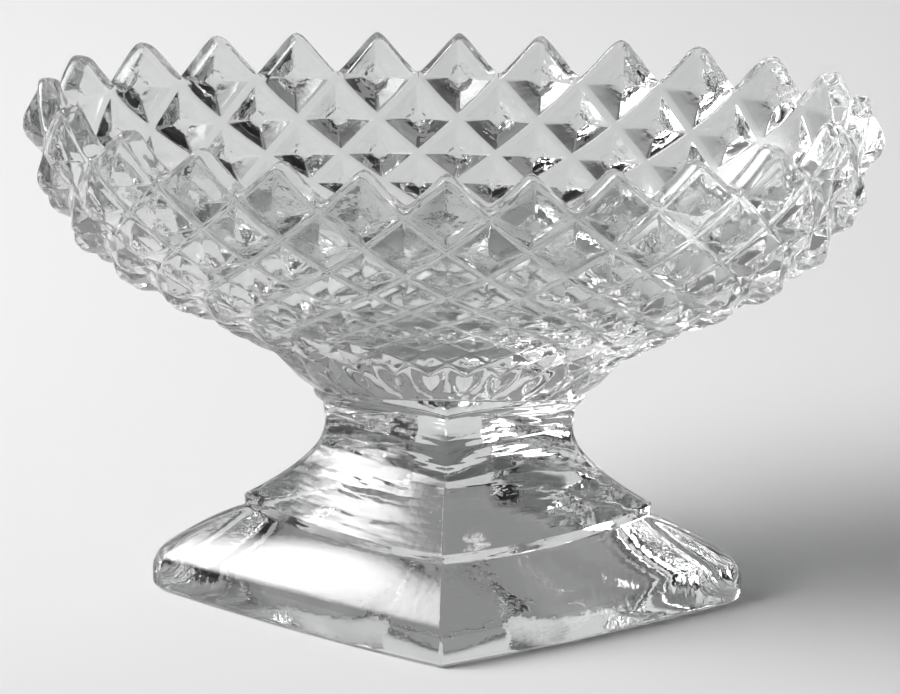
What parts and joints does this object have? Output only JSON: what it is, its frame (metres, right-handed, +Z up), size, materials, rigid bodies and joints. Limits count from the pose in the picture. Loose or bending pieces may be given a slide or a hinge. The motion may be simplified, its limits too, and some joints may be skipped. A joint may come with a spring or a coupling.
{
  "type": "nut dish",
  "caption": "Footed oval dish of clear pressed glass: hobnail bowl with a pointed rim, flared lozenge stem and lozenge plinth foot, for serving nuts.",
  "frame": {"origin": "on the table, under the middle of the foot", "axes": "+Z up, +X along the length of the bowl, +Y across the bowl to the back; the picture looks along +Y"},
  "size_m": [0.0898, 0.0468, 0.0571],
  "materials": {
    "clear_glass": "clear colourless pressed glass, fire-polished, slightly rippled"
  },
  "bodies": {
    "root": {"foot": "clear_glass", "stem": "clear_glass", "wafer": "clear_glass", "bowl": "clear_glass"}
  },
  "joints": []
}
